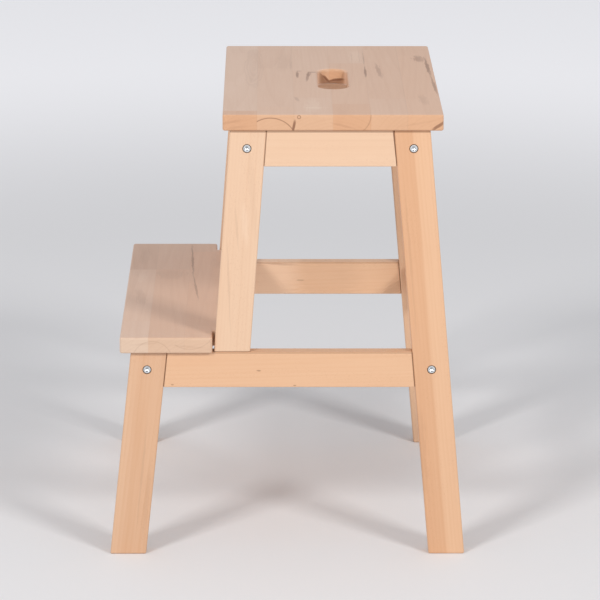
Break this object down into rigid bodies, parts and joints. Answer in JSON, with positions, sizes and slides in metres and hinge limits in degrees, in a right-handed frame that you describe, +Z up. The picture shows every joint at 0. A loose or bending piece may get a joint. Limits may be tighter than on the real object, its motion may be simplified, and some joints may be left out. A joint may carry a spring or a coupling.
{
  "type": "two-step wooden step stool",
  "caption": "Rigid wooden step stool with splayed legs, a wide lower step and a seat board with a hand slot, bolted through the legs.",
  "frame": {"origin": "on the floor, in the middle of the box round the stool seen from above", "axes": "+Z up; -Y to the front, where the step is; +X to the right of someone about to step up"},
  "size_m": [0.4298, 0.3976, 0.5],
  "materials": {
    "beech_board": "edge-glued beech staves, clear satin lacquer",
    "beech_frame": "solid beech, clear satin lacquer",
    "dowel_wood": "raw beech dowel",
    "zinc_steel": "zinc plated",
    "screw_steel": "zinc plated"
  },
  "bodies": {
    "root": {"seat_board": "beech_board", "step_board": "beech_board", "right_rear_leg": "beech_frame", "left_rear_leg": "beech_frame", "right_lower_front_leg": "beech_frame", "left_lower_front_leg": "beech_frame", "right_upper_front_leg": "beech_frame", "left_upper_front_leg": "beech_frame", "right_lower_side_rail": "beech_frame", "left_lower_side_rail": "beech_frame", "right_top_side_rail": "beech_frame", "left_top_side_rail": "beech_frame", "upper_front_cross_rail": "beech_frame", "upper_rear_cross_rail": "beech_frame", "lower_front_cross_rail": "beech_frame", "lower_rear_cross_rail": "beech_frame", "right_frame_bolts": "zinc_steel", "left_frame_bolts": "zinc_steel", "right_barrel_nuts": "zinc_steel", "left_barrel_nuts": "zinc_steel", "right_frame_dowels": "dowel_wood", "left_frame_dowels": "dowel_wood", "cross_rail_dowels": "dowel_wood", "seat_screws": "screw_steel", "step_screws": "screw_steel"}
  },
  "joints": []
}
